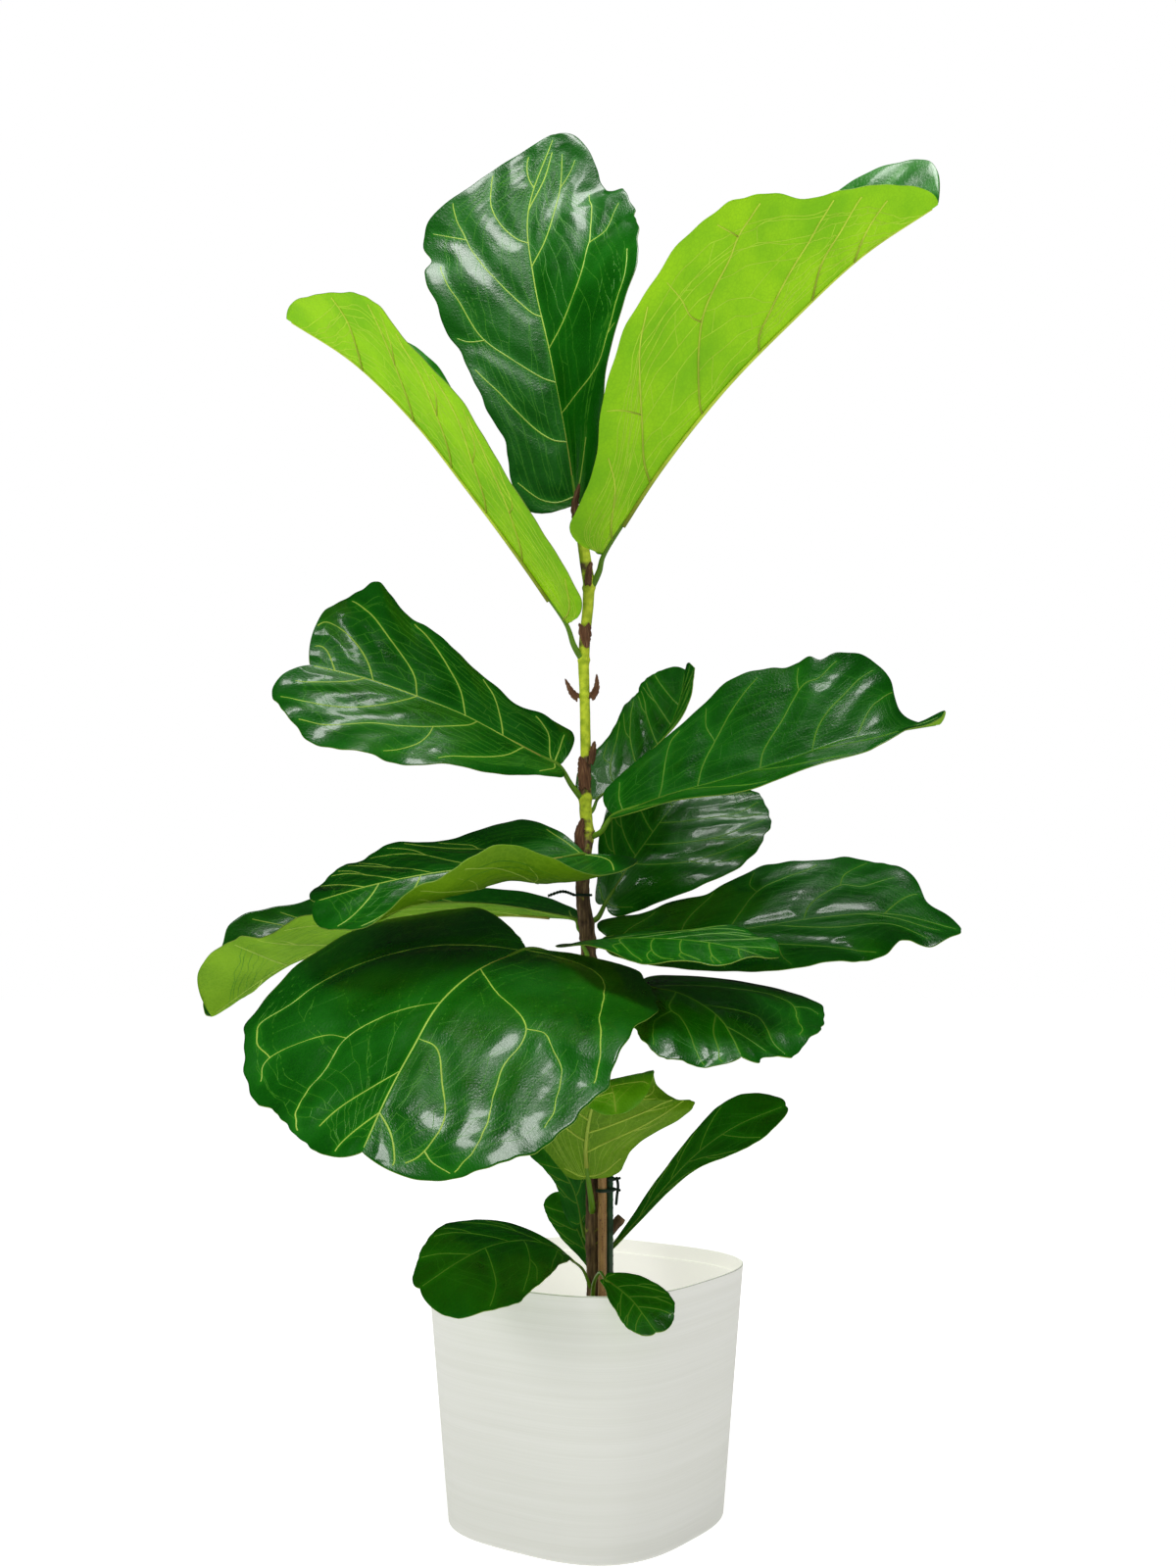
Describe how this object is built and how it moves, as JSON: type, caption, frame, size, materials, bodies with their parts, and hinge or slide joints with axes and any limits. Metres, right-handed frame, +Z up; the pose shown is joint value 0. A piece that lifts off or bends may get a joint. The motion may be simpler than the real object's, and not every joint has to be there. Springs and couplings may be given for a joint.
{
  "type": "potted fiddle leaf fig",
  "caption": "Tall potted fig with one slim trunk, large leathery fiddle-shaped leaves with wavy edges, and a white rounded-square planter.",
  "frame": {"origin": "middle of the pot's underside, on the floor", "axes": "+Z up along the trunk, -Y towards the side seen in the picture, +X to that view's right"},
  "size_m": [0.6959, 0.4846, 1.2986],
  "materials": {
    "pot": "satin, with fine brushed streaks",
    "soil": "dark crumbly potting mix",
    "bark": "rough brown bark, green above",
    "cane": "speckled tan bamboo",
    "stake": "dark green plastic coating",
    "tie": "very dark green plastic",
    "sheath": "dry and papery",
    "leaf": "waxy and glossy above, satin below",
    "young_leaf": "bright green satin underside, waxy top"
  },
  "bodies": {
    "root": {"pot": "pot", "soil": "soil", "trunk": "bark", "bamboo_cane": "cane", "plant_stake": "stake", "stake_clip": "tie", "twist_tie": "tie", "sheath_bud": "sheath", "sheath_top_right": "sheath", "sheath_top_left": "sheath", "sheath_horn_left": "sheath", "sheath_horn_right": "sheath", "sheath_node": "sheath", "sheath_chip": "sheath", "sheath_low": "sheath", "leaf_crown": "leaf", "leaf_middle_left": "leaf", "leaf_middle_right": "leaf", "leaf_middle_back": "leaf", "leaf_low_right_back": "leaf", "leaf_curled_left": "leaf", "leaf_far_left": "leaf", "leaf_far_right": "leaf", "leaf_front_broad": "leaf", "leaf_front_level": "leaf", "leaf_lower_right": "leaf", "leaf_top_right": "young_leaf", "leaf_top_left": "young_leaf", "leaf_pale": "young_leaf", "leaf_base_back": "leaf", "leaf_base_dark": "leaf", "leaf_base_right": "leaf", "leaf_base_left": "leaf", "leaf_base_front": "leaf"}
  },
  "joints": []
}
